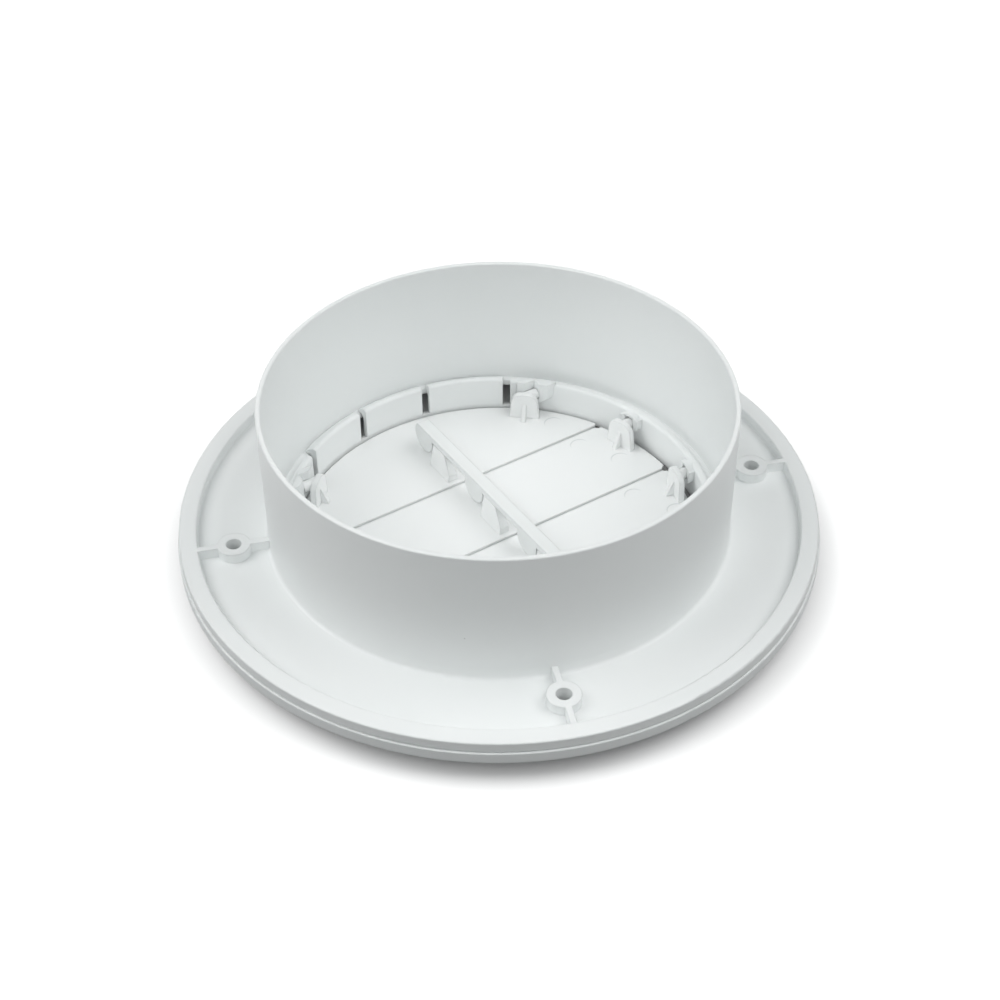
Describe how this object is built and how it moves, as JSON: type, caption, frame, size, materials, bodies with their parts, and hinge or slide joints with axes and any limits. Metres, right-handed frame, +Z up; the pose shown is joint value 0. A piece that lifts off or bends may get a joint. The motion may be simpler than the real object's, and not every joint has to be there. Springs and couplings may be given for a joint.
{
  "type": "adjustable ceiling vent",
  "caption": "Round white plastic ceiling vent with a duct spigot, a screw flange and a turning fascia that holds linked, lapped louvre blades.",
  "frame": {"origin": "centre of the duct axis on the ceiling face, which is the flat top of the flange rim", "axes": "+Z up into the duct along the spigot, X along the louvre pivots, as the vent lies in the picture and hangs in a ceiling"},
  "size_m": [0.2052, 0.2052, 0.0591],
  "materials": {
    "collar_plastic": "fine satin moulding, cool white",
    "fascia_plastic": "fine satin moulding, cool white",
    "blade_plastic": "fine satin moulding, cool white, faint ejector marks",
    "link_plastic": "fine satin moulding, cool white"
  },
  "bodies": {
    "collar": {"collar_flange": "collar_plastic"},
    "fascia": {"fascia_ring": "fascia_plastic"},
    "blade_1": {"louvre_blade_1": "blade_plastic"},
    "blade_2": {"louvre_blade_2": "blade_plastic"},
    "blade_3": {"louvre_blade_3": "blade_plastic"},
    "blade_4": {"louvre_blade_4": "blade_plastic"},
    "link": {"link_bar": "link_plastic"}
  },
  "joints": [
    {"name": "fascia_swivel", "type": "hinge", "parent": "collar", "child": "fascia", "pos_m": [0, 0, 0], "axis": [0, 0, 1], "continuous": true},
    {"name": "blade_1_tilt", "type": "hinge", "parent": "fascia", "child": "blade_1", "pos_m": [0, 0.0474, -0.0052], "axis": [-1, 0, 0], "range_deg": [0, 45]},
    {"name": "blade_2_tilt", "type": "hinge", "parent": "fascia", "child": "blade_2", "pos_m": [0, 0.0158, -0.0052], "axis": [-1, 0, 0], "range_deg": [0, 45]},
    {"name": "blade_3_tilt", "type": "hinge", "parent": "fascia", "child": "blade_3", "pos_m": [0, -0.0158, -0.0052], "axis": [-1, 0, 0], "range_deg": [0, 45]},
    {"name": "blade_4_tilt", "type": "hinge", "parent": "fascia", "child": "blade_4", "pos_m": [0, -0.0474, -0.0052], "axis": [-1, 0, 0], "range_deg": [0, 45]},
    {"name": "link_pivot", "type": "hinge", "parent": "blade_2", "child": "link", "pos_m": [0.0045, 0.0048, -0.0065], "axis": [1, 0, 0], "range_deg": [0, 45]}
  ],
  "couplings": [
    {"joint": "blade_1_tilt", "follows": "blade_2_tilt", "ratio": 1},
    {"joint": "blade_3_tilt", "follows": "blade_2_tilt", "ratio": 1},
    {"joint": "blade_4_tilt", "follows": "blade_2_tilt", "ratio": 1},
    {"joint": "link_pivot", "follows": "blade_2_tilt", "ratio": 1}
  ]
}
